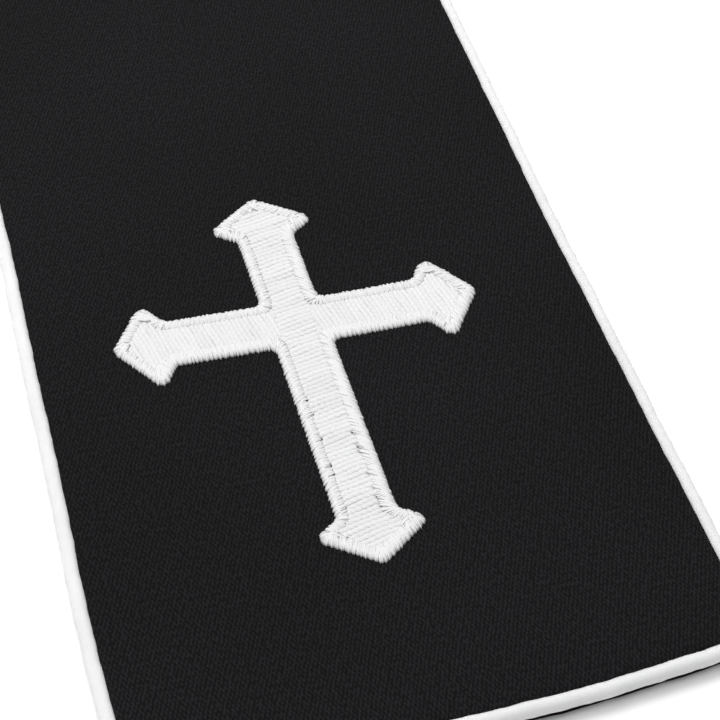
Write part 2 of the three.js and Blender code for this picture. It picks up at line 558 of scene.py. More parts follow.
@dataclass(frozen=True)
class BlackCloth:
    """Matte black cloth in a steep twill, dotted where the ribs cross, with shade painted into the gaps
    between its threads and highlight painted onto their crests.
    """

    effects: Effects
    rib: tuple[float, float, float] = (1100, 480, 0)
    cross: tuple[float, float, float] = (1060, -540, 0)
    # dark is the painted shade in the gaps of the weave, light the painted highlight on its thread crests.
    dark: float = 0.0036
    light: float = 0.0112
    relief: float = 0.00012

    def make(self) -> bpy.types.Material:
        """Make the material.

        Returns:
            The material.
        """
        material, g, shader = new_material("black_twill")
        place = g.place()
        ribs = {"Rib": self.rib, "Cross": self.cross, "Cross share": 0.7, "Waver": 0.0006, "Broken": 4.0}
        weave = g.node("Group", {"Place": place, **ribs}, node_tree=self.effects.weave).outputs
        scales = {"Patch scale": 14.0, "Speck scale": 1300.0}
        uneven = g.node("Group", {"Place": place, **scales}, node_tree=self.effects.uneven).outputs
        thread = g.math("MULTIPLY", weave["Thread"], g.spread(uneven["Speck"], 0.7, 1.15))
        # Painted shade and highlight: the gaps between the threads take the dark grey, the thread crests the
        # light one.
        shades = {"Color1": grey(self.dark, 1.14), "Color2": grey(self.light, 1.11)}
        shaded_weave = g.node("MixRGB", {"Fac": thread, **shades}).outputs[0]
        bump = g.node("Bump", {"Height": weave["Height"], "Distance": self.relief, "Strength": 0.8})
        g.fill(shader, {
            "Base Color": g.scaled(shaded_weave, g.spread(uneven["Patch"], 0.9, 1.1)),
            "Roughness": g.spread(uneven["Speck"], 0.72, 0.9),
            "Normal": bump.outputs[0],
            "Specular IOR Level": 0.06,
            "Sheen Weight": 0.012,
            "Sheen Roughness": 0.5,
        })
        return material


@dataclass(frozen=True)
class WhitePiping:
    """A fine white bias strip drawn over a cord, with a little shade painted into the gaps of its weave."""

    effects: Effects
    rib: tuple[float, float, float] = (2100, 2100, 0)
    cross: tuple[float, float, float] = (2100, -2100, 0)
    base: float = 0.645
    relief: float = 0.00003

    def make(self) -> bpy.types.Material:
        """Make the material.

        Returns:
            The material.
        """
        material, g, shader = new_material("white_bias_strip")
        place = g.place()
        ribs = {"Rib": self.rib, "Cross": self.cross, "Cross share": 1.0, "Waver": 0.0001}
        weave = g.node("Group", {"Place": place, **ribs}, node_tree=self.effects.weave).outputs
        scales = {"Patch scale": 60.0, "Speck scale": 1500.0}
        uneven = g.node("Group", {"Place": place, **scales}, node_tree=self.effects.uneven).outputs
        # Painted shade: the weave's gaps are a little darker than its thread crests.
        shades = {"Color1": grey(self.base * 0.95), "Color2": grey(self.base)}
        shaded_weave = g.node("MixRGB", {"Fac": weave["Thread"], **shades}).outputs[0]
        patch, speck = g.spread(uneven["Patch"], 0.97, 1.02), g.spread(uneven["Speck"], 0.98, 1.02)
        bump = g.node("Bump", {"Height": weave["Height"], "Distance": self.relief, "Strength": 0.7})
        g.fill(shader, {
            "Base Color": g.scaled(shaded_weave, g.math("MULTIPLY", patch, speck)),
            "Roughness": g.spread(uneven["Speck"], 0.68, 0.82),
            "Normal": bump.outputs[0],
            "Specular IOR Level": 0.25,
            "Sheen Weight": 0.05,
            "Subsurface Weight": 1.0,
            "Subsurface Radius": (1.0, 1.0, 1.0),
            "Subsurface Scale": 0.0028,
        })
        return material


@dataclass(frozen=True)
class WhiteThread:
    """White embroidery thread, each length a little lighter or darker than the next, with a little shade
    painted into the grooves of its twist.
    """

    effects: Effects
    name: str
    base: float = 0.665
    spread: float = 0.04
    fibre: tuple[float, float, float] = (5200, 1900, 0)
    relief: float = 0.00004

    def make(self) -> bpy.types.Material:
        """Make the material.

        Returns:
            The material.
        """
        material, g, shader = new_material(self.name)
        place = g.place()
        twist = g.node("Group", {"Place": place, "Fibre": self.fibre}, node_tree=self.effects.twist).outputs
        scales = {"Patch scale": 180.0, "Speck scale": 2500.0}
        uneven = g.node("Group", {"Place": place, **scales}, node_tree=self.effects.uneven).outputs
        tone = g.node("Attribute", attribute_name="tone").outputs["Fac"]
        own = g.spread(tone, 1 - self.spread, 1 + self.spread * 0.6)
        # Painted shade: the low grooves of the twist are a little darker than its ridges.
        fine = g.math("MULTIPLY", own, g.spread(twist["Height"], 0.96, 1.02))
        tint = g.math("MULTIPLY", fine, g.spread(uneven["Speck"], 0.97, 1.02))
        bump = g.node("Bump", {"Height": twist["Height"], "Distance": self.relief, "Strength": 0.6})
        g.fill(shader, {
            "Base Color": g.scaled(grey(self.base)[:3], tint),
            "Roughness": g.spread(tone, 0.5, 0.62),
            "Normal": bump.outputs[0],
            "Specular IOR Level": 0.3,
            "Sheen Weight": 0.08,
        })
        return material


@dataclass
class Panel:
    """The black cloth of one half: a face and a back that roll down to the seam beside the cord."""

    cut: Cut
    side: Side
    # How far inside the cord's middle the cloth meets the cord.
    lap: float = 0.87 * MM
    # Rows of points lie close together this far up from the hem, and further apart from there on.
    fine_reach: float = 300 * MM
    fine_step: float = 1.6 * MM
    coarse_step: float = 7 * MM
    middle_columns: int = 46
    # How far in from the seam each row or column of points beside an edge lies, how far from the neck seam
    # each row beside it lies, and the space that is left before the next row.
    edge_steps: tuple[float, ...] = tuple(x * MM for x in (0, 0.22, 0.5, 0.85, 1.3, 1.9, 2.7, 3.8, 5.6, 8.6))
    neck_steps: tuple[float, ...] = tuple(x * MM for x in (0, 0.35, 0.8, 1.4, 2.2, 4))
    neck_space: float = 6 * MM
    # How far down the rows follow the neck's slope, and how far up they follow the round of the hem.
    neck_fade: float = 150 * MM
    hem_fade: tuple[float, float] = (70 * MM, 10 * MM)
    # Distance in from the seam, and height of the face there, in millimetres.
    edge_profile: tuple[tuple[float, float], ...] = (
        (0.0, 2.42), (0.22, 2.60), (0.5, 2.76), (0.85, 2.90), (1.3, 3.01), (1.9, 3.09),
        (2.7, 3.12), (3.8, 3.11), (5.6, 3.05), (8.6, 2.95), (14.0, 2.83), (22.0, 2.75),
    )
    # Distance in from the seam, and height, of the hidden turn of the cloth behind the cord.
    turn_profile: tuple[tuple[float, float], ...] = (
        (0.36, 2.5), (0.62, 2.1), (0.66, 1.7), (0.62, 1.3), (0.34, 0.8),
    )
    # Distance out from the seam, and height, of the back's edge where it shows under the cord of the hem. It
    # is drawn out under the cord, so its black is partly the real back and partly a dark sheet standing in
    # for the shadow under the hem.
    lip_profile: tuple[tuple[float, float], ...] = (
        (0.35, 0.08), (1.09, -0.08), (1.9, 0.08), (2.36, 0.36), (2.5, 0.30), (2.4, 0.06), (1.9, -0.18),
        (1.09, -0.34), (0.3, -0.24),
    )
    # Where that edge lies away from the hem: distance in from the seam, and height.
    flat_lip: tuple[float, float] = (0.2, 0.66)
    # The back's height over the table, and how far its edge rolls up and over what width.
    back_height: float = 0.02 * MM
    back_roll: tuple[float, float] = (0.55 * MM, 0.35 * MM)
    # Amplitude, length across and length along in millimetres, and phase, of the soft swells in the cloth.
    swells: tuple[tuple[float, float, float, float], ...] = (
        (0.16, 310, 190, 0.4), (0.10, -170, 120, 2.1), (0.06, 90, 240, 4.0),
    )
    swell_fade: tuple[float, float] = (1 * MM, 16 * MM)
    # The seam's wander, and the small puckers beside it, which run in from the seam on a slant.
    seam_waves: tuple[Wave, ...] = (
        (0.07 * MM, 31 * MM, 0.3), (0.07 * MM, 13.7 * MM, 1.9), (0.05 * MM, 6.1 * MM, 0.8),
        (0.02 * MM, 3.7 * MM, 4.0),
    )
    pucker_waves: tuple[Wave, ...] = (
        (0.07 * MM, 8.3 * MM, 0.0), (0.05 * MM, 5.1 * MM, 1.2), (0.03 * MM, 3.3 * MM, 2.6),
    )
    pucker_slant: float = 1.7
    pucker_start: float = 0.9 * MM
    pucker_reach: float = 2.6 * MM
    # How far the face rolls down into the neck seam, and over what width.
    neck_roll: tuple[float, float] = (1.1 * MM, 2.2 * MM)

    def hem_bow(self, across: np.ndarray) -> np.ndarray:
        """How far the hem's edge is drawn back from its middle, at distances across."""
        return self.cut.hem_round * (across / (self.cut.hem_width / 2)) ** 2

    def swell(self, x: np.ndarray, y: np.ndarray) -> np.ndarray:
        """Height of the soft swells.

        Args:
            x: Places across the stole.
            y: Places along it.

        Returns:
            The height of the swells at each place.
        """
        total = np.zeros_like(x)
        for amplitude, across, along, phase in self.swells:
            total += amplitude * MM * np.sin(2 * math.pi * (x / (across * MM) + y / (along * MM)) + phase)
        return total

    def edge_distance(self, along: np.ndarray, across: np.ndarray) -> np.ndarray:
        """Distance in from the seam line, round its hem corners too.

        Args:
            along: Distances from the neck seam along the middle line.
            across: Distances from the middle line.

        Returns:
            The distance of each point from the seam, or 0 outside it.
        """
        aside = self.cut.half_width(along) - self.lap - np.abs(across)
        ahead = self.cut.half_length - self.lap - self.hem_bow(across) - along
        radius = self.cut.corner_radius - self.lap
        corner = radius - np.hypot(np.maximum(radius - aside, 0), np.maximum(radius - ahead, 0))
        inside = (aside < radius) & (ahead < radius)
        return np.maximum(np.where(inside, corner, np.minimum(aside, ahead)), 0)

    def face_height(self, along: np.ndarray, across: np.ndarray) -> np.ndarray:
        """Height of the face over the table.

        Args:
            along: Distances from the neck seam along the middle line.
            across: Distances from the middle line.

        Returns:
            The height at each point.
        """
        distance = self.edge_distance(along, across)
        inward, height = zip(*self.edge_profile)
        base = np.interp(distance, np.array(inward) * MM, np.array(height) * MM)
        plan = self.cut.place(along, across)
        swell = self.swell(plan[..., 0], plan[..., 1]) * smooth_step(distance, *self.swell_fade)
        pucker = wander(along + self.pucker_slant * across, self.pucker_waves)
        pucker = pucker * np.exp(-distance / self.pucker_reach)
        raised = base + swell + pucker * smooth_step(distance, 0, self.pucker_start)
        drop, width = self.neck_roll
        neck = smooth_step(plan[..., 0], self.cut.seam_gap / 2, width)
        return raised - drop * (1 - neck) ** 2 + self.cut.hem_lift * self.cut.lifted(along)

    def stations(self) -> np.ndarray:
        """Where the rows of points cross the middle line.

        Returns:
            Their distances from the neck seam.
        """
        end = self.cut.half_length - self.lap
        edge = np.array(self.edge_steps)
        fine = np.arange(edge[-1] + self.fine_step, self.fine_reach, self.fine_step)
        coarse = np.arange(self.fine_reach, end - self.neck_space, self.coarse_step)
        from_hem = np.concatenate([edge, fine, coarse])
        return np.concatenate([self.neck_steps, (end - from_hem)[::-1]])

    def grid(self) -> tuple[np.ndarray, np.ndarray]:
        """Lay out the points of the face in rows and columns.

        Returns:
            Their distances along the middle line and across from it.
        """
        station = self.stations()
        edge = np.array(self.edge_steps)
        half = self.cut.half_width(station) - self.lap
        between = np.linspace(-1, 1, self.middle_columns + 2)[1:-1]
        left = -(half[:, None] - edge[None, :])
        inner = between[None, :] * (half - edge[-1])[:, None]
        across = np.concatenate([left, inner, -left[:, ::-1]], axis=1)
        along = np.repeat(station[:, None], across.shape[1], axis=1)
        at_neck = 1 - smooth_step(station, 0, self.neck_fade)
        along = along + at_neck[:, None] * self.cut.seam_start(across)
        end = self.cut.half_length - self.lap
        at_hem = smooth_step(station, *(end - fade for fade in self.hem_fade))
        radius = self.cut.corner_radius - self.lap
        over = np.maximum(radius - (half[:, None] - np.abs(across)), 0)
        corner = radius - np.sqrt(np.maximum(radius**2 - over**2, 0))
        along = along - at_hem[:, None] * (self.hem_bow(across) + corner)
        return along, across

    def build(self) -> bpy.types.Object:
        """Build the closed cloth of this half.

        Returns:
            The cloth.
        """
        parts = MeshParts()
        along, across = self.grid()
        rows, columns = along.shape
        plan = self.cut.place(along, across)
        loop = [(row, 0) for row in range(rows)]
        loop += [(rows - 1, column) for column in range(1, columns)]
        loop += [(row, columns - 1) for row in range(rows - 2, -1, -1)]
        rim = np.array([plan[row, column] for row, column in loop])
        heading = unit(np.gradient(rim, axis=0))
        inward = np.stack([-heading[:, 1], heading[:, 0]], axis=-1)
        length = running_length(rim)
        drift = wander(length, self.seam_waves)
        for index, (row, column) in enumerate(loop):
            plan[row, column] += inward[index] * drift[index]
        rim = rim + inward * drift[:, None]
        top = self.face_height(along, across)
        place = np.stack([across, along], axis=-1).reshape(-1, 2)
        face = np.concatenate([plan, top[..., None]], axis=-1).reshape(-1, 3)
        parts.add_points(face, place)
        parts.add_grid(0, rows, columns)
        inset = self.edge_distance(along, across)
        lifted = self.cut.lifted(along)
        rise, width = self.back_roll
        low = rise * np.exp(-inset / width) * (1 - lifted) + self.back_height + self.cut.hem_lift * lifted
        back_first = parts.add_points(np.concatenate([plan, low[..., None]], axis=-1).reshape(-1, 3), place)
        parts.add_grid(back_first, rows, columns, flip=True)
        layers = [np.array([row * columns + column for row, column in loop])]
        rim_place = place[layers[0]]
        share = lifted.reshape(-1)[layers[0]]
        turns = [(np.full(len(rim), inset), np.full(len(rim), height)) for inset, height in self.turn_profile]
        # Near the hem the back's edge turns out under the cord: a dark lip that partly stands in for the
        # shadow there.
        flat_reach, flat_height = self.flat_lip
        turns += [(flat_reach * (1 - share) - reach * share, flat_height * (1 - share) + height * share)
                  for reach, height in self.lip_profile]
        for distance, height in turns:
            ring = rim + inward * distance[:, None] * MM
            ring[[0, -1], 0] = rim[[0, -1], 0]
            points = np.column_stack([ring, height * MM + self.cut.hem_lift * share])
            first = parts.add_points(points, rim_place + distance[:, None] * MM)
            layers.append(first + np.arange(len(rim)))
        layers.append(layers[0] + back_first)
        for upper, lower in zip(layers, layers[1:]):
            for i in range(len(rim) - 1):
                parts.faces.append((int(upper[i]), int(lower[i]), int(lower[i + 1]), int(upper[i + 1])))
        neck = list(range(columns)) + [int(layer[-1]) for layer in layers[1:-1]]
        neck += [back_first + column for column in range(columns - 1, -1, -1)]
        neck += [int(layer[0]) for layer in layers[-2:0:-1]]
        parts.faces.append(tuple(neck[::-1]))
        return parts.make(f"cloth_{self.side.word}", self.side is Side.LEFT)


@dataclass
class Piping:
    """The covered cord sewn into the seam, down both edges and round the hem of one half."""

    cut: Cut
    side: Side
    sides: int = 18
    # Rings of points lie close together this far up from the hem, and further apart from there on.
    fine_reach: float = 300 * MM
    fine_step: float = 0.8 * MM
    coarse_step: float = 4 * MM
    # How many points the middle line has along an edge, along the hem and round a corner.
    edge_points: int = 1600
    hem_points: int = 200
    corner_points: int = 12
    # Where the two handles of a curve lie that follows a quarter of a circle.
    arc_pull: float = 0.5523
    # The cord's sideways wander, its swelling as a share of its radius, and the calm at its two ends.
    sway: tuple[Wave, ...] = (
        (0.07 * MM, 27 * MM, 0.5), (0.05 * MM, 11 * MM, 2.0), (0.03 * MM, 5.3 * MM, 1.0),
    )
    swell: tuple[Wave, ...] = ((0.014, 17 * MM, 0.0), (0.012, 6.7 * MM, 1.1), (0.010, 3.1 * MM, 2.9))
    calm_ends: float = 12 * MM
    # Small folds of the strip, which come and go along the cord.
    fold_depth: float = 0.02
    fold_pitch: float = 2.3 * MM
    fold_change: float = 19 * MM
    # How far over the table the cord's lowest points stay.
    clearance: float = 0.01 * MM

    def line(self) -> tuple[np.ndarray, np.ndarray]:
        """Closely spaced points of the cord's middle, from the neck down the inner edge and back.

        Returns:
            The points, and how much of the hem's lift each has.
        """
        cut = self.cut
        radius = cut.corner_radius
        straight_end = cut.half_length - cut.hem_round - radius
        sides = []
        for sign in (-1, 1):
            begin = float(cut.seam_start(sign * cut.neck_width / 2))
            begin = float(cut.seam_start(sign * cut.half_width(np.array([begin]))[0]))
            along = np.linspace(begin, straight_end, self.edge_points)
            sides.append(cut.place(along, sign * cut.half_width(along)))
        reach = cut.half_width(np.array([cut.half_length]))[0]
        across = np.linspace(-reach + radius, reach - radius, self.hem_points)
        bow = cut.hem_round * (across / reach) ** 2
        hem = cut.place(cut.half_length - bow, across)
        pieces = [sides[0], self.corner(sides[0], hem), hem]
        pieces += [self.corner(sides[1], hem[::-1])[::-1], sides[1][::-1]]
        line = np.concatenate(pieces)
        hem_y = cut.middle(np.array([cut.half_length]))[0, 1]
        return line, cut.lifted(cut.half_length - (line[:, 1] - hem_y))

    def corner(self, edge: np.ndarray, hem: np.ndarray) -> np.ndarray:
        """A smooth turn from the end of an edge into the start of the hem.

        Args:
            edge: Points down the edge.
            hem: Points along the hem.

        Returns:
            The points between them.
        """
        start, finish = edge[-1], hem[0]
        out, back = unit(edge[-1] - edge[-2]), unit(hem[0] - hem[1])
        reach = np.linalg.solve(np.stack([out, -back], axis=1), finish - start)
        knee = start + out * reach[0]
        t = np.linspace(0, 1, self.corner_points + 2)[1:-1, None]
        first, second = (point + (knee - point) * self.arc_pull for point in (start, finish))
        return ((1 - t) ** 3 * start + 3 * (1 - t) ** 2 * t * first
                + 3 * (1 - t) * t**2 * second + t**3 * finish)

    def build(self) -> bpy.types.Object:
        """Build the closed tube of this half's cord.

        Returns:
            The cord.
        """
        line, share = self.line()
        length = running_length(line)
        hem_at = length[np.argmin(line[:, 1])]
        begin = hem_at - self.fine_reach - self.cut.hem_width / 2
        finish = hem_at + self.fine_reach + self.cut.hem_width / 2
        samples = np.concatenate([
            np.arange(0, begin, self.coarse_step),
            np.arange(begin, finish, self.fine_step),
            np.arange(finish, length[-1] - 1 * MM, self.coarse_step),
            [length[-1]],
        ])
        path = np.stack([np.interp(samples, length, line[:, axis]) for axis in (0, 1)], axis=-1)
        lift = np.interp(samples, length, share) * self.cut.hem_lift
        heading = unit(np.gradient(path, axis=0))
        normal = np.stack([heading[:, 1], -heading[:, 0]], axis=-1)
        normal[0] = (0, 1) if normal[0, 1] > 0 else (0, -1)
        normal[-1] = (0, 1) if normal[-1, 1] > 0 else (0, -1)
        ends = np.ones(len(path))
        ends[[0, -1]] = 1 / math.cos(self.cut.neck_slope)
        calm = smooth_step(samples, 0, self.calm_ends) * smooth_step(length[-1] - samples, 0, self.calm_ends)
        path = path + normal * (wander(samples, self.sway) * calm)[:, None]
        angle = 2 * math.pi * np.arange(self.sides) / self.sides
        radius = self.cut.cord_radius * (1 + wander(samples, self.swell) * calm)[:, None]
        fold = np.sin(2 * math.pi * (samples[:, None] / self.fold_pitch) + 2 * angle[None, :])
        fold_size = 0.5 + 0.5 * np.sin(samples / self.fold_change)
        radius = radius * (1 + self.fold_depth * calm[:, None] * fold_size[:, None] * fold * 0.5)
        across = radius * np.cos(angle) * ends[:, None]
        height = np.maximum(self.cut.cord_radius + radius * np.sin(angle), self.clearance)
        points = np.concatenate([
            path[:, None, :] + normal[:, None, :] * across[..., None],
            (height + lift[:, None])[..., None],
        ], axis=-1)
        girth = np.abs(angle - math.pi) * self.cut.cord_radius
        place = np.stack(np.broadcast_arrays(girth[None, :], samples[:, None]), axis=-1)
        parts = MeshParts()
        parts.add_points(points.reshape(-1, 3), place.reshape(-1, 2))
        parts.add_tube(0, len(samples), self.sides)
        return parts.make(f"piping_cord_{self.side.word}", self.side is Side.LEFT)


@dataclass(frozen=True)
class CrossShape:
    """The outline of the cross about its crossing: four bars with pointed and barbed ends."""

    above_hem: float = 108.7 * MM
    off_centre: float = -4.05 * MM
    lean: float = math.radians(0.4)
    top: float = 40.5 * MM
    arm: float = 42.6 * MM
    bottom: float = 68.35 * MM
    bar: float = 6.52 * MM
    point_width: float = 12.75 * MM
    barbs_back: float = 9.1 * MM
    bar_back: float = 13.15 * MM
    point_radius: float = 1.7 * MM
    barb_radius: float = 1.8 * MM
    crook_radius: float = 0.5 * MM

    def end(self, reach: float) -> list[Corner]:
        """One pointed end that points down.

        Args:
            reach: How far its point lies from the crossing.

        Returns:
            Its corners, anticlockwise.
        """
        return [
            (-self.bar, self.bar_back - reach, self.crook_radius),
            (-self.point_width, self.barbs_back - reach, self.barb_radius),
            (0.0, -reach, self.point_radius),
            (self.point_width, self.barbs_back - reach, self.barb_radius),
            (self.bar, self.bar_back - reach, self.crook_radius),
        ]

    @staticmethod
    def turned(corners: Sequence[Corner], quarters: int) -> list[Corner]:
        """Turn corners anticlockwise about the crossing.

        Args:
            corners: The corners.
            quarters: How many quarter turns.

        Returns:
            The turned corners.
        """
        turned = list(corners)
        for _ in range(quarters):
            turned = [(-y, x, radius) for x, y, radius in turned]
        return turned

    def corners(self) -> np.ndarray:
        """Every corner of the outline.

        Returns:
            Rows of x, y and rounding, anticlockwise.
        """
        found: list[Corner] = []
        for quarters, reach in enumerate((self.bottom, self.arm, self.top, self.arm)):
            crook = (self.bar, -self.bar, self.crook_radius)
            found += self.turned([*self.end(reach), crook], quarters)
        return np.array(found)

    def stem(self) -> np.ndarray:
        """Corners of the upright bar with its two pointed ends, with no arms."""
        return np.array(self.end(self.bottom) + self.turned(self.end(self.top), 2))

    def arm_right(self, start: float) -> np.ndarray:
        """Corners of the right arm, which starts at a distance from the crossing."""
        end = self.turned(self.end(self.arm), 1)
        return np.array([(start, -self.bar, 0.0), *end, (start, self.bar, 0.0)])


def inset_corners(corners: np.ndarray, inset: float) -> np.ndarray:
    """Move each side of an anticlockwise outline inwards.

    Args:
        corners: Rows of x, y and rounding.
        inset: How far the sides move.

    Returns:
        The corners of the new outline, with the same rounding.
    """
    points = corners[:, :2]
    direction = unit(np.roll(points, -1, axis=0) - points)
    inward = np.stack([-direction[:, 1], direction[:, 0]], axis=-1)
    moved = corners.copy()
    for i in range(len(points)):
        before = i - 1
        total = inward[before] + inward[i]
        moved[i, :2] = points[i] + total * inset / (1 + inward[before] @ inward[i])
    return moved


def rounded(corners: np.ndarray, change: float = 0.0, least: float = 0.15 * MM, steps: int = 6) -> np.ndarray:
    """Round the corners of an outline.

    Args:
        corners: Rows of x, y and rounding.
        change: Added to the rounding where the outline turns left, and taken from it where it turns right.
        least: The smallest rounding.
        steps: Steps in each arc.

    Returns:
        Rows of x and y.
    """
    count = len(corners)
    found = []
    for i in range(count):
        here = corners[i, :2]
        a = unit(corners[i - 1, :2] - here)
        b = unit(corners[(i + 1) % count, :2] - here)
        left_turn = a[0] * b[1] - a[1] * b[0] < 0
        radius = max(corners[i, 2] + (change if left_turn else -change), least)
        half = math.acos(float(np.clip(a @ b, -1, 1))) / 2
        if half > math.pi / 2 - 1e-3:
            found.append(here)
            continue
        centre = here + unit(a + b) * radius / math.sin(half)
        reach = radius / math.tan(half)
        first, last = here + a * reach - centre, here + b * reach - centre
        start = math.atan2(first[1], first[0])
        turn = math.atan2(first[0] * last[1] - first[1] * last[0], float(first @ last))
        for step in range(steps + 1):
            angle = start + turn * step / steps
            found.append(centre + radius * np.array([math.cos(angle), math.sin(angle)]))
    return np.array(found)


def meetings(origin: np.ndarray, direction: np.ndarray, outline: np.ndarray) -> tuple[np.ndarray, np.ndarray]:
    """Where a line meets the line through each side of an outline.

    Args:
        origin: A point of the line.
        direction: The line's direction.
        outline: Rows of x and y.

    Returns:
        For each side, the distance from the origin, and the share of the way along the side.
    """
    side = np.roll(outline, -1, axis=0) - outline
    away = outline - origin
    under = direction[0] * side[:, 1] - direction[1] * side[:, 0]
    under = np.where(np.abs(under) < TINY, TINY, under)
    along_line = (away[:, 0] * side[:, 1] - away[:, 1] * side[:, 0]) / under
    along_side = (away[:, 0] * direction[1] - away[:, 1] * direction[0]) / under
    return along_line, along_side


def reach_to(origin: np.ndarray, direction: np.ndarray, outline: np.ndarray) -> float:
    """How far a ray goes before it meets an outline.

    Args:
        origin: Where the ray starts.
        direction: Its direction.
        outline: Rows of x and y.

    Returns:
        The distance, or infinity where it doesn't meet the outline.
    """
    along_ray, along_side = meetings(origin, direction, outline)
    hit = (along_side >= 0) & (along_side <= 1) & (along_ray > 1e-7)
    return float(along_ray[hit].min()) if hit.any() else math.inf


def spans_inside(origin: np.ndarray, direction: np.ndarray, outline: np.ndarray) -> list[tuple[float, float]]:
    """The stretches of a line that lie inside an outline.

    Args:
        origin: A point of the line.
        direction: The line's direction.
        outline: Rows of x and y.

    Returns:
        The start and end of each stretch, as distances from the origin.
    """
    along_line, along_side = meetings(origin, direction, outline)
    hits = np.sort(along_line[(along_side >= 0) & (along_side < 1)])
    return [(float(hits[i]), float(hits[i + 1])) for i in range(0, len(hits) - 1, 2)]


@dataclass(frozen=True)
class RowStyle:
    """How the rows of the fill look in one part of the cross.

    Attributes:
        angle: The rows' direction, in radians from +X.
        pitch: The distance from row to row.
        groove: The least depth of the grooves between the rows, as a share of the rows' relief.
        twist: Depth of the dents that the yarn's twist leaves, as a share of the rows' relief.
    """

    angle: float
    pitch: float
    groove: float
    twist: float


@dataclass(frozen=True)
class Scatter:
    """How much one stitch or row of yarn differs from the next, as standard deviations.

    Attributes:
        outer_end: Of the place of a border stitch's outer end.
        inner_end: Of the place of its inner end.
        aside: Of its place across its length.
        rise: Of its height, as a share.
        width: Of its width, as a share.
        row_place: Of a row's place.
        row_pitch: Of the distance from row to row, as a share.
        row_level: Of a row's height.
        row_relief: Of its relief, as a share.
        dimples: Of the dimples' shift from row to row, as a share.
    """

    outer_end: float = 0.06 * MM
    inner_end: float = 0.04 * MM
    aside: float = 0.02 * MM
    rise: float = 0.02
    width: float = 0.06
    row_place: float = 0.03 * MM
    row_pitch: float = 0.03
    row_level: float = 0.012 * MM
    row_relief: float = 0.10
    dimples: float = 0.2


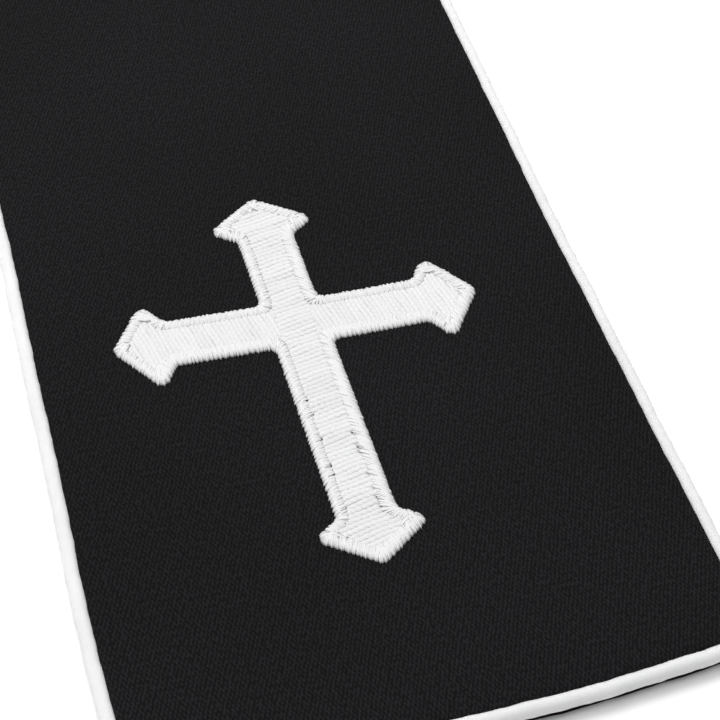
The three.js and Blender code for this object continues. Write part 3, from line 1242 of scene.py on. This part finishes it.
@dataclass
class Embroidery:
    """The white cross of one half: underlay, rows of fill, and a satin border over its edge."""

    cut: Cut
    panel: Panel
    side: Side
    shape: CrossShape = CrossShape()
    scatter: Scatter = Scatter()
    border_width: float = 3.05 * MM
    # The inner edge lies further left and up than the outer one.
    inner_shift: tuple[float, float] = (-0.28 * MM, 0.38 * MM)
    border_pitch: float = 0.31 * MM
    # Share of the way from a stitch's inner end, and height of its middle there, in millimetres.
    border_arch: tuple[tuple[float, float], ...] = (
        (0.0, 0.26), (0.08, 0.48), (0.18, 0.60), (0.35, 0.71), (0.57, 0.79), (0.77, 0.69), (0.91, 0.44),
        (1.0, 0.07),
    )
    # A stitch's width and thickness, and how much of its size it keeps at its inner and its outer end.
    border_thread: tuple[float, float] = (0.66 * MM, 0.20 * MM)
    border_taper: tuple[float, float] = (0.95, 0.4)
    # The line that the stitches cross lies this share of the border's width inside the outline. Its direction
    # is smoothed over a short way, and no stitch goes further from it than these shares, out and in.
    ridge_share: float = 0.33
    ridge_radius: float = 1.0 * MM
    ridge_look: float = 0.9 * MM
    longest: tuple[float, float] = (0.62, 1.25)
    # Stitches that end too far outside are shortened by the second length, down to the first.
    shorten: tuple[float, float] = (0.4 * MM, 0.06 * MM)
    # Where the stitches fan out they are this many times as wide as they stand apart, up to the widest.
    fan_cover: float = 1.9
    widest: float = 1.2 * MM
    # Groups of stitches reach out further and leave a row of teeth. The stitches between them end inside the
    # outline by the base.
    tooth_pitch: float = 1.10 * MM
    tooth_length: float = 0.40 * MM
    tooth_base: float = 0.08 * MM
    tooth_power: float = 1.4
    tooth_waves: tuple[Wave, ...] = ((0.35, 17 * MM, 0.4), (0.2, 5.3 * MM, 2.0))
    # How far the inner ends of those groups reach over the fill, their shift, and the power of their form.
    scallop: float = 0.14 * MM
    scallop_shift: float = 0.3
    scallop_power: float = 0.6
    # Roundness of the border's corners, which its stitches can't fill to a point.
    tip_radius: float = 1.8 * MM
    # The border's stitches slant down, and more so on the right than on the left.
    slant: float = 0.68
    slant_to_right: float = 0.20
    # How far the stitches have pulled the ends of the arms, right and up, and how far the arms lean.
    arms_pull: tuple[float, float] = (0.62 * MM, 0.57 * MM)
    arms_lean: float = 0.26 * MM
    # Each row of the fill is a soft twisted yarn, pressed nearly flat.
    stem_rows: RowStyle = RowStyle(math.radians(12.0), 1.16 * MM, 0.32, 0.52)
    arm_rows: RowStyle = RowStyle(math.radians(-79.0), 1.03 * MM, 0.55, 0.30)
    # How far the rows overlap, their level over the cloth, and how high their face rises over that level.
    row_overlap: float = 0.11 * MM
    row_rise: float = 0.42 * MM
    row_relief: float = 0.30 * MM
    # Where the first row lies, as a share of the distance from row to row, and the shortest row that is sewn.
    first_row: float = 0.4
    shortest_row: float = 1.0 * MM
    # How far the rows go on under the border, how far the arms' rows go on under the stem's, and how far and
    # over what length the rows' ends sink.
    row_tuck: float = 1.0 * MM
    arm_tuck: float = 0.1 * MM
    row_sink: tuple[float, float] = (0.26 * MM, 0.45 * MM)
    # How far a row's edges and its underside lie under its own level.
    row_edge: float = 0.10 * MM
    row_depth: float = 0.2 * MM
    # The rows bow together in one slow wave, and each in a small one of its own.
    row_bow: Wave = (0.10 * MM, 10.3 * MM, 0.7)
    row_sway: tuple[float, float] = (0.03 * MM, 6 * MM)
    # The length of one turn of the yarn, how much the turns slant across a row, and how they wander.
    twist_length: float = 1.45 * MM
    twist_slant: float = 2.3
    twist_wander: tuple[float, float] = (0.6, 5.3 * MM)
    # Where the face's points lie across a row, as shares of half its width.
    row_columns: tuple[float, ...] = (-1.1, -0.92, -0.62, -0.3, 0.0, 0.3, 0.62, 0.92, 1.1)
    row_step: float = 0.2 * MM
    # The grooves between rows deepen to a dimple at each needle hole, staggered from row to row.
    dimple_pitch: float = 1.45 * MM
    seed: int = 11
    # Where needle holes stay open, right of and above the crossing, and half their length across, all in
    # millimetres.
    holes: tuple[tuple[float, float, float], ...] = (
        (-3.9, -22.7, 0.30), (-3.6, -27.0, 0.20), (-3.8, -33.9, 0.34), (-3.9, -41.3, 0.36),
        (-3.8, -43.8, 0.24), (3.3, -33.8, 0.36), (3.3, -37.9, 0.28), (3.2, -39.2, 0.24), (4.2, -43.5, 0.24),
        (3.4, -45.3, 0.18), (3.4, -49.0, 0.26), (3.3, -51.9, 0.28), (3.4, -54.3, 0.24), (-3.8, -52.8, 0.18),
        (-5.7, -60.1, 0.30), (6.2, -59.9, 0.36), (-37.1, -2.3, 0.20),
    )
    # A hole's length up the cross as a share of its length across, and how far up it opens in the underlay.
    hole_share: float = 1.7
    hole_shift: float = 0.2 * MM
    # The border's stitches that come nearer to a hole than this end at the second distance from it.
    hole_clear: tuple[float, float] = (0.30 * MM, 0.34 * MM)
    # Rows this near to a hole end at it, if their own end is no further away than the second distance.
    hole_rows: tuple[float, float] = (0.55 * MM, 2.2 * MM)
    # The underlay: how far inside the outline it ends, its top and underside, and its points' spacing.
    bed_inset: float = 0.5 * MM
    bed_heights: tuple[float, float] = (0.38 * MM, -0.05 * MM)
    bed_step: float = 2.4 * MM
    hole_sides: int = 8
    # A face of the underlay is left out where its middle lies within this share of a hole's size.
    hole_reach: float = 0.9

    def __post_init__(self) -> None:
        """Seed the small differences between stitches."""
        self.random = np.random.default_rng(self.seed + (self.side is Side.LEFT))

    def on_cloth(self, points: np.ndarray, rise: np.ndarray | float) -> np.ndarray:
        """Lay points of the cross on the face of the panel.

        Args:
            points: Rows of x and y about the crossing.
            rise: Height over the face.

        Returns:
            Rows of x, y and z in the row's frame, for the right half.
        """
        share = points[:, 0] / self.shape.arm
        pulled = np.outer(share**2, self.arms_pull) + np.outer(share, (0.0, self.arms_lean))
        points = points + pulled
        cosine, sine = math.cos(self.shape.lean), math.sin(self.shape.lean)
        across = points[:, 0] * cosine - points[:, 1] * sine + self.shape.off_centre
        along = self.cut.half_length - self.shape.above_hem
        along = along - points[:, 0] * sine - points[:, 1] * cosine
        plan = self.cut.place(along, across)
        return np.column_stack([plan, self.panel.face_height(along, across) + rise])

    def thread(
        self,
        parts: MeshParts,
        path: np.ndarray,
        width: np.ndarray | float,
        depth: np.ndarray | float,
        sides: int = 5,
        taper: tuple[float, float] = (0.4, 0.4),
    ) -> None:
        """Add one closed length of thread along a path.

        Args:
            parts: Where the thread goes.
            path: Rows of x, y and z.
            width: The thread's width on the cloth, at each point or the same all along.
            depth: Its thickness.
            sides: How many sides its section has.
            taper: How much of its size it keeps at its start and at its end.
        """
        heading = unit(np.gradient(path, axis=0))
        lateral = unit(np.stack([-heading[:, 1], heading[:, 0], np.zeros(len(path))], axis=-1))
        upward = unit(np.cross(heading, lateral))
        angle = 2 * math.pi * (np.arange(sides) + 0.25) / sides
        size = np.ones(len(path))
        size[[0, -1]] = taper
        half_width = (size * width / 2)[:, None, None] * np.cos(angle)[None, :, None]
        half_depth = (size * depth / 2)[:, None, None] * np.sin(angle)[None, :, None]
        ring = path[:, None, :] + lateral[:, None, :] * half_width + upward[:, None, :] * half_depth
        length = running_length(path) + self.random.uniform(0, 0.05)
        girth = np.abs(np.arange(sides) / sides - 0.5) * float(np.mean(width)) * 2
        place = np.stack(np.broadcast_arrays(girth[None, :], length[:, None]), axis=-1)
        first = parts.add_points(ring.reshape(-1, 3), place.reshape(-1, 2), self.random.uniform(0, 1))
        parts.add_tube(first, len(path), sides)

    @staticmethod
    def inside(point: np.ndarray, outline: np.ndarray) -> bool:
        """Whether a point lies inside an outline."""
        return any(low < 0 < high for low, high in spans_inside(point, np.array([1.0, 1e-6]), outline))

    def outside(self, point: np.ndarray, outline: np.ndarray) -> float:
        """How far a point lies outside an outline.

        Args:
            point: The point's x and y.
            outline: Rows of x and y.

        Returns:
            The distance, or 0 where the point is inside.
        """
        if self.inside(point, outline):
            return 0.0
        side = np.roll(outline, -1, axis=0) - outline
        away = point - outline
        share = np.clip((away * side).sum(axis=1) / np.maximum((side * side).sum(axis=1), TINY**2), 0, 1)
        return float(np.linalg.norm(away - side * share[:, None], axis=1).min())

    def build_border(self) -> bpy.types.Object:
        """Build the border's satin stitches, which cover the edge of the cross and leave small teeth outside.

        Returns:
            The border.
        """
        corners = self.shape.corners()
        outer = rounded(corners, least=self.tip_radius)
        inner = rounded(inset_corners(corners, self.border_width), change=-self.border_width)
        inner = inner + self.inner_shift
        inset = self.border_width * self.ridge_share
        ridge = rounded(inset_corners(corners, inset), change=-inset, least=self.ridge_radius, steps=12)
        ridge = np.vstack([ridge, ridge[:1]])
        length = running_length(ridge)
        count = int(round(length[-1] / self.border_pitch))
        stations = np.arange(count) * length[-1] / count
        at, before, after = (
            np.stack([np.interp(np.mod(stations + shift, length[-1]), length, line) for line in ridge.T], -1)
            for shift in (0.0, -self.ridge_look, self.ridge_look)
        )
        tangent = unit(after - before)
        outward = np.stack([tangent[:, 1], -tangent[:, 0]], axis=-1)
        lean = -tangent[:, 1] * (self.slant + self.slant_to_right * outward[:, 0])
        direction = unit(outward + tangent * lean[:, None])
        phase = stations / self.tooth_pitch + wander(stations, self.tooth_waves)
        tooth = (1 - np.abs(2 * (phase % 1) - 1)) ** self.tooth_power * self.tooth_length
        group = (0.5 - 0.5 * np.cos(2 * math.pi * (phase + self.scallop_shift))) ** self.scallop_power
        scallop = (group - 0.6) * self.scallop
        holes = np.array(self.holes) * MM
        parts = MeshParts()
        ends = np.empty((2, count, 2))
        for i in range(count):
            out = min(reach_to(at[i], direction[i], outer), self.border_width * self.longest[0])
            back = min(reach_to(at[i], -direction[i], inner), self.border_width * self.longest[1])
            out += tooth[i] - self.tooth_base + self.random.normal(0, self.scatter.outer_end)
            back += scallop[i] + self.random.normal(0, self.scatter.inner_end)
            while out > self.shorten[0] and self.outside(at[i] + direction[i] * out, outer) > tooth[i]:
                out -= self.shorten[1]
            start, finish = at[i] - direction[i] * back, at[i] + direction[i] * out
            clear = (np.linalg.norm(holes[:, :2] - start, axis=1) - holes[:, 2]).min()
            if clear < self.hole_clear[0]:
                start = start + direction[i] * (self.hole_clear[1] - clear)
            ends[:, i] = start, finish
        t, arch = (np.array(column) for column in zip(*self.border_arch))
        width, depth = self.border_thread
        apart = np.linalg.norm(np.roll(ends, -1, axis=1) - np.roll(ends, 1, axis=1), axis=-1) / 2
        widths = np.clip(apart * self.fan_cover, width, self.widest)
        for i in range(count):
            start, finish = ends[:, i]
            flat = start + (finish - start) * t[:, None] + self.random.normal(0, self.scatter.aside, 2)
            rise = arch * MM * self.random.normal(1, self.scatter.rise)
            across = np.interp(t, (0, 1), widths[:, i]) * self.random.normal(1, self.scatter.width)
            self.thread(parts, self.on_cloth(flat, rise), across, depth, taper=self.border_taper)
        return parts.make(f"border_stitches_{self.side.word}", self.side is Side.LEFT)

    def trimmed(
        self, begin: np.ndarray, direction: np.ndarray, low: float, high: float,
    ) -> tuple[float, float]:
        """Shorten a row whose end would cover a needle hole.

        Args:
            begin: The point that the row's distances start from.
            direction: The row's direction.
            low: Where the row begins.
            high: Where it ends.

        Returns:
            The new ends.
        """
        holes = np.array(self.holes) * MM
        away = holes[:, :2] - begin
        along = away @ direction
        aside = np.abs(away @ np.array([-direction[1], direction[0]])) - holes[:, 2] * self.hole_share
        near, from_end = self.hole_rows
        for where, half in zip(along[aside < near], holes[aside < near, 2]):
            if 0 < where - low < from_end:
                low = where + half
            elif 0 < high - where < from_end:
                high = where - half
        return low, high

    def yarn_face(
        self, where: np.ndarray, aside: np.ndarray, dimples: tuple[float, float], style: RowStyle,
    ) -> np.ndarray:
        """Relief of a flat twisted yarn, from 0 in the deepest dimples to 1.

        Args:
            where: Distances along the yarn.
            aside: Places across it, as shares of half its width.
            dimples: Phase of the dimples along its right side and along its left side.
            style: How deep its grooves and dents are.

        Returns:
            A row of heights for each station.
        """
        deep = []
        for phase in dimples:
            opening = 0.5 + 0.5 * np.cos(2 * math.pi * where / self.dimple_pitch + phase)
            deep.append(style.groove + (1 - style.groove) * opening**2)
        depth = np.where(aside[None, :] < 0, deep[0][:, None], deep[1][:, None])
        turn = 2 * math.pi * where / self.twist_length + sum(dimples) / 2
        turn = turn + wander(where, ((*self.twist_wander, self.random.uniform(0, 6)),))
        twist = 0.5 - 0.5 * np.cos(turn[:, None] + self.twist_slant * aside[None, :])
        return 1 - depth * np.abs(aside[None, :]) ** 2 - style.twist * twist

    def add_yarn(
        self,
        parts: MeshParts,
        begin: np.ndarray,
        direction: np.ndarray,
        ends: tuple[float, float],
        dimples: tuple[float, float],
        style: RowStyle,
    ) -> None:
        """Add one closed row of yarn.

        Args:
            parts: Where the row goes.
            begin: The point that the row's distances start from.
            direction: The row's direction.
            ends: Where the row begins and ends.
            dimples: Phase of the dimples along its right side and along its left side.
            style: The row's look.
        """
        low, high = ends
        normal = np.array([-direction[1], direction[0]])
        where = np.linspace(low, high, max(int((high - low) / self.row_step), 4))
        bow = wander(where + begin @ normal, (self.row_bow,))
        bow = bow + wander(where, ((*self.row_sway, self.random.uniform(0, 6)),))
        aside = np.array(self.row_columns)
        relief = self.row_relief * self.random.normal(1, self.scatter.row_relief)
        sink = self.row_sink[0] * np.exp(-np.minimum(where - low, high - where) / self.row_sink[1])
        level = self.row_rise + self.random.normal(0, self.scatter.row_level) - sink
        face = level[:, None] + relief * self.yarn_face(where, aside, dimples, style)
        face[:, [0, -1]] = level[:, None] - self.row_edge
        rise = np.column_stack([face, level - self.row_depth])
        across = np.append(aside, 0.0) * (style.pitch + self.row_overlap) / 2
        sideways = across[None, :, None] + bow[:, None, None]
        flat = begin + direction * where[:, None, None] + normal * sideways
        place = np.stack(np.broadcast_arrays(across[None, :], where[:, None]), axis=-1)
        place = place + self.random.uniform(0, 0.05)
        points = self.on_cloth(flat.reshape(-1, 2), rise.ravel())
        first = parts.add_points(points, place.reshape(-1, 2), self.random.uniform(0, 1))
        parts.add_tube(first, len(where), len(across), flip=True)

    def fill_rows(self, parts: MeshParts, outline: np.ndarray, style: RowStyle) -> None:
        """Fill an outline with rows of yarn.

        Args:
            parts: Where the rows go.
            outline: The outline to fill, rows of x and y.
            style: How the rows run and look.
        """
        direction = np.array([math.cos(style.angle), math.sin(style.angle)])
        normal = np.array([-direction[1], direction[0]])
        across = outline @ normal
        offset = across.min() + style.pitch * self.first_row
        right = 0.0
        while offset < across.max():
            begin = normal * (offset + self.random.normal(0, self.scatter.row_place))
            left = right + math.pi * self.random.normal(1, self.scatter.dimples)
            for low, high in spans_inside(begin, direction, outline):
                low, high = self.trimmed(begin, direction, low, high)
                if high - low > self.shortest_row:
                    self.add_yarn(parts, begin, direction, (low, high), (right, left), style)
            right = left
            offset += style.pitch * self.random.normal(1, self.scatter.row_pitch)

    def build_fill(self) -> bpy.types.Object:
        """Build the rows of yarn across the stem and slanting down the arms.

        Returns:
            The fill.
        """
        hidden = self.border_width - self.row_tuck
        parts = MeshParts()
        stem = rounded(inset_corners(self.shape.stem(), hidden), change=-hidden)
        self.fill_rows(parts, stem, self.stem_rows)
        start = self.shape.bar - hidden - self.arm_tuck
        corners = self.shape.arm_right(start - hidden)
        right = rounded(inset_corners(corners, hidden), change=-hidden)
        self.fill_rows(parts, right, self.arm_rows)
        self.fill_rows(parts, right[::-1] * np.array([-1, 1]), self.arm_rows)
        return parts.make(f"fill_stitches_{self.side.word}", self.side is Side.LEFT)

    def build_underlay(self) -> bpy.types.Object:
        """Build a thin bed of white under the stitches, open where a needle hole shows the cloth.

        Returns:
            The underlay, a closed plate.
        """
        inset = self.bed_inset
        outline = rounded(inset_corners(self.shape.corners(), inset), change=-inset, steps=4)
        low, high = outline.min(axis=0), outline.max(axis=0)
        points = [Vector(p) for p in (outline / MM).tolist()]
        loops = [list(range(len(points)))]
        shift = np.array([0.0, self.hole_shift])
        sides = self.hole_sides
        for hole in self.holes:
            loops.append(list(range(len(points), len(points) + sides)))
            for angle in 2 * math.pi * np.arange(sides) / sides:
                reach = hole[2] * np.array([math.cos(angle), self.hole_share * math.sin(angle)])
                points.append(Vector(hole[:2]) + Vector(reach + shift / MM))
        edges = [(loop[i], loop[(i + 1) % len(loop)]) for loop in loops for i in range(len(loop))]
        for x in np.arange(low[0], high[0], self.bed_step):
            for y in np.arange(low[1], high[1], self.bed_step):
                points.append(Vector((x / MM, y / MM)))
        verts, _, faces, _, _, _ = delaunay_2d_cdt(points, edges, [], 0, 1e-5)
        flat = np.array([tuple(v) for v in verts]) * MM
        holes = np.array(self.holes) * MM
        sizes = holes[:, 2:] * np.array([1.0, self.hole_share])
        kept = []
        for face in faces:
            centre = flat[list(face)].mean(axis=0)
            offset = (centre - holes[:, :2] - shift) / sizes
            in_hole = np.hypot(offset[:, 0], offset[:, 1]).min() <= self.hole_reach
            if not in_hole and self.inside(centre, outline):
                kept.append(tuple(face))
        used = sorted({index for face in kept for index in face})
        renamed = {index: new for new, index in enumerate(used)}
        kept = [tuple(renamed[index] for index in face) for face in kept]
        flat = flat[used]
        count = len(flat)
        parts = MeshParts()
        for height in self.bed_heights:
            parts.add_points(self.on_cloth(flat, height), flat)
        for face in kept:
            parts.faces.append(face)
            parts.faces.append(tuple(count + index for index in face[::-1]))
        # A side without a neighbour that runs the other way is on the rim. The dictionary keeps their order.
        run = dict.fromkeys(pair for face in kept for pair in zip(face, face[1:] + face[:1]))
        for a, b in run:
            if (b, a) not in run:
                parts.faces.append((a, a + count, b + count, b))
        return parts.make(f"underlay_{self.side.word}", self.side is Side.LEFT)


@dataclass(frozen=True)
class Lamp:
    """A soft rectangular light that faces the middle of the hem.

    Attributes:
        name: Its name.
        place: Its place from the middle of the hem.
        size: Its width and height.
        power: Its power in watts.
    """

    name: str
    place: Corner
    size: tuple[float, float]
    power: float


@dataclass(frozen=True)
class Studio:
    """The pale table, the soft light from behind, and the camera over the hem."""

    cut: Cut
    # The seam's height, and how far inside the hem of the cut it lies.
    seam_height: float = 3.0 * MM
    seam_inset: float = 1.09 * MM
    # The camera's place from the middle of the hem's seam, and its turns.
    camera_offset: tuple[float, float, float] = (-101.77 * MM, -194.1 * MM, 350.73 * MM)
    swing: float = math.radians(-20.672)
    tilt: float = math.radians(41.257)
    roll: float = math.radians(5.978)
    lens: float = 104.95
    table_size: float = 6.0
    table_gap: float = 0.15 * MM
    lamps: tuple[Lamp, ...] = (
        Lamp("window", (-0.08, 0.56, 0.84), (0.9, 0.6), 9.0),
        Lamp("overhead", (-0.38, -0.2, 1.15), (1.1, 1.1), 7.0),
    )
    # Strength of the even light from all round.
    room: float = 0.40

    def hem_middle(self) -> Vector:
        """The middle of the hem's seam on the right half."""
        x, y = self.cut.middle(np.array([self.cut.half_length]))[0]
        return Vector((x, y + self.seam_inset, self.seam_height))

    def add_camera(self) -> None:
        """Set the camera where the photograph was taken from."""
        data = bpy.data.cameras.new("camera")
        data.lens = self.lens
        data.sensor_width = 36
        data.clip_start = 0.01
        camera = bpy.data.objects.new("camera", data)
        turn = (Matrix.Rotation(self.swing, 4, "Z") @ Matrix.Rotation(self.tilt, 4, "X")
                @ Matrix.Rotation(self.roll, 4, "Z"))
        camera.matrix_world = Matrix.Translation(self.hem_middle() + Vector(self.camera_offset)) @ turn
        bpy.context.scene.collection.objects.link(camera)
        bpy.context.scene.camera = camera

    def add_table(self) -> None:
        """Lay a plain pale table just under the stole."""
        half = self.table_size / 2
        mesh = bpy.data.meshes.new("table_top")
        corners = [(-half, -half, 0), (half, -half, 0), (half, half, 0), (-half, half, 0)]
        mesh.from_pydata(corners, [], [(0, 1, 2, 3)])
        table = bpy.data.objects.new("table_top", mesh)
        table.location.z = -self.table_gap
        bpy.context.scene.collection.objects.link(table)
        material, g, shader = new_material("pale_table")
        g.fill(shader, {"Base Color": grey(0.93), "Roughness": 0.9, "Specular IOR Level": 0.1})
        mesh.materials.append(material)

    def add_light(self, lamp: Lamp) -> None:
        """Add one light to the scene.

        Args:
            lamp: Its sizes and place.
        """
        data = bpy.data.lights.new(lamp.name, "AREA")
        data.shape = "RECTANGLE"
        data.size, data.size_y = lamp.size
        data.energy = lamp.power
        light = bpy.data.objects.new(lamp.name, data)
        place = Vector(lamp.place)
        light.location = self.hem_middle() + place
        light.rotation_euler = (-place).to_track_quat("-Z", "Y").to_euler()
        bpy.context.scene.collection.objects.link(light)

    def add_lights(self) -> None:
        """Light the table softly from behind and above, with an even fill from all round."""
        world = bpy.data.worlds.new("soft_room")
        world.use_nodes = True
        background = world.node_tree.nodes["Background"]
        background.inputs["Color"].default_value = (0.99, 0.995, 1.0, 1.0)
        background.inputs["Strength"].default_value = self.room
        bpy.context.scene.world = world
        for lamp in self.lamps:
            self.add_light(lamp)


def dress(piece: bpy.types.Object, material: bpy.types.Material, slot: Slot, *nodes: str) -> None:
    """Give a piece its finish, its body and the solids that it stands for.

    Args:
        piece: The piece.
        material: Its material.
        slot: The record's slot for it; not used.
        *nodes: The solids that it replaces.
    """
    piece.data.materials.append(material)
    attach(piece, "root")
    if nodes:
        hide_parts(*nodes)
    log.info("%s: %d points, %d faces", piece.name, len(piece.data.vertices), len(piece.data.polygons))


@dataclass
class Half:
    """One half of the stole: its cloth, its piping and its cross.

    Attributes:
        cut: The cut of the half.
        side: Which half it is.
        cloth: The finish of the cloth.
        cord: The finish of the piping.
        thread: The finish of the cross's border.
        filling: The finish of the rows of yarn.
        bed: The finish of the underlay, the thread painted darker as shade where it shows between the
            stitches.
    """

    cut: Cut
    side: Side
    cloth: bpy.types.Material
    cord: bpy.types.Material
    thread: bpy.types.Material
    filling: bpy.types.Material
    bed: bpy.types.Material

    def build(self) -> None:
        """Build and dress every piece of this half."""
        panel = Panel(self.cut, self.side)
        body = panel.build()
        dress(body, self.cloth, Slot.CLOTH, f"panel_{self.side.word}")
        piping = Piping(self.cut, self.side).build()
        dress(piping, self.cord, Slot.PIPING, f"piping_{self.side.word}")
        cross = Embroidery(self.cut, panel, self.side)
        underlay = cross.build_underlay()
        dress(underlay, self.bed, Slot.THREAD)
        fill = cross.build_fill()
        dress(fill, self.filling, Slot.THREAD)
        border = cross.build_border()
        dress(border, self.thread, Slot.THREAD, f"cross_{self.side.word}")
        self.cut.flat_area()


def main() -> None:
    """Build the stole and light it."""
    logging.basicConfig(level=logging.INFO, format="%(name)s %(message)s")
    bpy.context.scene.view_settings.view_transform = "Standard"
    cut = Cut.in_frame()
    studio = Studio(cut)
    studio.add_camera()
    studio.add_table()
    studio.add_lights()
    effects = Effects()
    cloth = BlackCloth(effects).make()
    cord = WhitePiping(effects).make()
    thread = WhiteThread(effects, "embroidery_thread").make()
    filling = WhiteThread(effects, "fill_yarn", base=0.645).make()
    # The underlay is the same thread painted darker, as shade where it shows between the stitches.
    bed = WhiteThread(effects, "underlay_thread", base=0.62).make()
    for side in Side:
        Half(cut, side, cloth, cord, thread, filling, bed).build()


if __name__ == "__main__":
    main()
